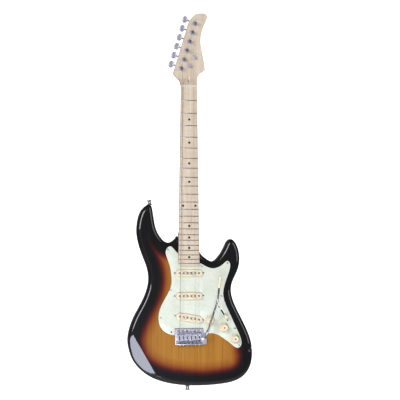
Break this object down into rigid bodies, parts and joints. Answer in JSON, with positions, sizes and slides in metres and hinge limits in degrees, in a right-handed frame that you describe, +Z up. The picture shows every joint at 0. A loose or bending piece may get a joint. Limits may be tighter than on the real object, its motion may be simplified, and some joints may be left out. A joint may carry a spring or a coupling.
{
  "type": "electric guitar",
  "caption": "Double-cutaway solid-body electric guitar with bolt-on maple neck, in-line tuners, single-coil pickups and a vibrato bridge with arm.",
  "frame": {"origin": "centre line of the neck at the nut, in the plane of the body's front face; the guitar hangs here", "axes": "+Z up the neck to the headstock, -Y out of the front, +X to the treble side"},
  "size_m": [0.3318, 0.0949, 0.9993],
  "materials": {
    "sunburst_body": "gloss clear coat over a three-colour burst",
    "maple": "satin clear coat",
    "walnut": "satin",
    "fret_wire": "polished nickel silver",
    "black_dot": "flush inlay",
    "nut_white": "polished",
    "steel": "plain steel",
    "strings": "nickel-plated steel",
    "chrome": "mirror plated",
    "block_metal": "grey cast zinc",
    "guard_mint": "three-ply, gloss",
    "back_plate_white": "single-ply, gloss",
    "cream": "aged cream, semi-gloss",
    "magnet": "ground ends",
    "coil_wire": "enamelled winding",
    "fibre_board": "pressed fibre",
    "rubber": "tube",
    "pot_metal": "plated steel",
    "felt": "pressed felt"
  },
  "bodies": {
    "guitar": {"body": "sunburst_body", "body_screws": "steel", "claw_screws": "steel", "cover_screws": "chrome", "frets": "fret_wire", "headstock_screws": "chrome", "jack_plate": "chrome", "neck": "maple", "neck_filler_strip": "walnut", "neck_plate": "chrome", "nut": "nut_white", "output_jack": "chrome", "panel_nuts": "chrome", "pickguard": "guard_mint", "pickup_bobbins": "fibre_board", "pickup_coils": "coil_wire", "pickup_covers": "cream", "pickup_screws": "chrome", "pickup_tubes": "rubber", "pivot_screws": "chrome", "pole_pieces": "magnet", "position_dots": "black_dot", "potentiometers": "pot_metal", "rear_cover": "back_plate_white", "selector_switch": "pot_metal", "spring_claw": "steel", "strap_buttons": "chrome", "strap_felts": "felt", "string_trees": "chrome", "strings": "strings", "truss_rod": "steel", "tuner_bushings": "chrome", "tuner_housings": "chrome", "vibrato_springs": "steel"},
    "bridge": {"bridge_plate": "chrome", "inertia_block": "block_metal", "block_screws": "steel", "saddles": "chrome", "saddle_screws": "chrome", "intonation_springs": "steel", "string_ends": "steel"},
    "arm": {"vibrato_arm": "chrome", "arm_tip": "cream"},
    "selector": {"selector_lever": "pot_metal", "selector_tip": "cream"},
    "volume": {"volume_knob": "cream"},
    "tone_1": {"tone_1_knob": "cream"},
    "tone_2": {"tone_2_knob": "cream"},
    "tuner_1": {"tuner_button_1": "chrome"},
    "post_1": {"string_post_1": "chrome"},
    "tuner_2": {"tuner_button_2": "chrome"},
    "post_2": {"string_post_2": "chrome"},
    "tuner_3": {"tuner_button_3": "chrome"},
    "post_3": {"string_post_3": "chrome"},
    "tuner_4": {"tuner_button_4": "chrome"},
    "post_4": {"string_post_4": "chrome"},
    "tuner_5": {"tuner_button_5": "chrome"},
    "post_5": {"string_post_5": "chrome"},
    "tuner_6": {"tuner_button_6": "chrome"},
    "post_6": {"string_post_6": "chrome"}
  },
  "joints": [
    {"name": "tuner_1_turn", "type": "hinge", "parent": "guitar", "child": "tuner_1", "pos_m": [-0.01869, 0.02, 0.0551], "axis": [0.9563, 0, -0.2924], "continuous": true},
    {"name": "post_1_turn", "type": "hinge", "parent": "guitar", "child": "post_1", "pos_m": [-0.02074, 0, 0.04841], "axis": [0, 1, 0], "continuous": true},
    {"name": "tuner_2_turn", "type": "hinge", "parent": "guitar", "child": "tuner_2", "pos_m": [-0.01132, 0.02, 0.0792], "axis": [0.9563, 0, -0.2924], "continuous": true},
    {"name": "post_2_turn", "type": "hinge", "parent": "guitar", "child": "post_2", "pos_m": [-0.01337, 0, 0.0725], "axis": [0, 1, 0], "continuous": true},
    {"name": "tuner_3_turn", "type": "hinge", "parent": "guitar", "child": "tuner_3", "pos_m": [-0.00396, 0.02, 0.1033], "axis": [0.9563, 0, -0.2924], "continuous": true},
    {"name": "post_3_turn", "type": "hinge", "parent": "guitar", "child": "post_3", "pos_m": [-0.006, 0, 0.0966], "axis": [0, 1, 0], "continuous": true},
    {"name": "tuner_4_turn", "type": "hinge", "parent": "guitar", "child": "tuner_4", "pos_m": [0.00341, 0.02, 0.1274], "axis": [0.9563, 0, -0.2924], "continuous": true},
    {"name": "post_4_turn", "type": "hinge", "parent": "guitar", "child": "post_4", "pos_m": [0.00136, 0, 0.1207], "axis": [0, 1, 0], "continuous": true},
    {"name": "tuner_5_turn", "type": "hinge", "parent": "guitar", "child": "tuner_5", "pos_m": [0.01078, 0.02, 0.15149], "axis": [0.9563, 0, -0.2924], "continuous": true},
    {"name": "post_5_turn", "type": "hinge", "parent": "guitar", "child": "post_5", "pos_m": [0.00873, 0, 0.1448], "axis": [0, 1, 0], "continuous": true},
    {"name": "tuner_6_turn", "type": "hinge", "parent": "guitar", "child": "tuner_6", "pos_m": [0.01815, 0.02, 0.17559], "axis": [0.9563, 0, -0.2924], "continuous": true},
    {"name": "post_6_turn", "type": "hinge", "parent": "guitar", "child": "post_6", "pos_m": [0.0161, 0, 0.1689], "axis": [0, 1, 0], "continuous": true},
    {"name": "volume_turn", "type": "hinge", "parent": "guitar", "child": "volume", "pos_m": [0.0562, -0.01, -0.61626], "axis": [0, 1, 0], "range_deg": [0, 300]},
    {"name": "tone_1_turn", "type": "hinge", "parent": "guitar", "child": "tone_1", "pos_m": [0.0932, -0.01, -0.63566], "axis": [0, 1, 0], "range_deg": [0, 300]},
    {"name": "tone_2_turn", "type": "hinge", "parent": "guitar", "child": "tone_2", "pos_m": [0.1225, -0.01, -0.66546], "axis": [0, 1, 0], "range_deg": [0, 300]},
    {"name": "selector_swing", "type": "hinge", "parent": "guitar", "child": "selector", "pos_m": [0.0924, 0.014, -0.59846], "axis": [-0.8387, 0, -0.5446], "range_deg": [0, 36]},
    {"name": "bridge_tilt", "type": "hinge", "parent": "guitar", "child": "bridge", "pos_m": [0, -0.0034, -0.644], "axis": [1, 0, 0], "range_deg": [-10, 3], "stiffness_Nm_per_rad": 18, "deforming": ["strings", "vibrato_springs"]},
    {"name": "arm_swivel", "type": "hinge", "parent": "bridge", "child": "arm", "pos_m": [0.041, -0.01, -0.661], "axis": [0, 1, 0], "range_deg": [-60, 100]}
  ],
  "couplings": [
    {"joint": "post_1_turn", "follows": "tuner_1_turn", "ratio": 0.066667},
    {"joint": "post_2_turn", "follows": "tuner_2_turn", "ratio": 0.066667},
    {"joint": "post_3_turn", "follows": "tuner_3_turn", "ratio": 0.066667},
    {"joint": "post_4_turn", "follows": "tuner_4_turn", "ratio": 0.066667},
    {"joint": "post_5_turn", "follows": "tuner_5_turn", "ratio": 0.066667},
    {"joint": "post_6_turn", "follows": "tuner_6_turn", "ratio": 0.066667}
  ]
}
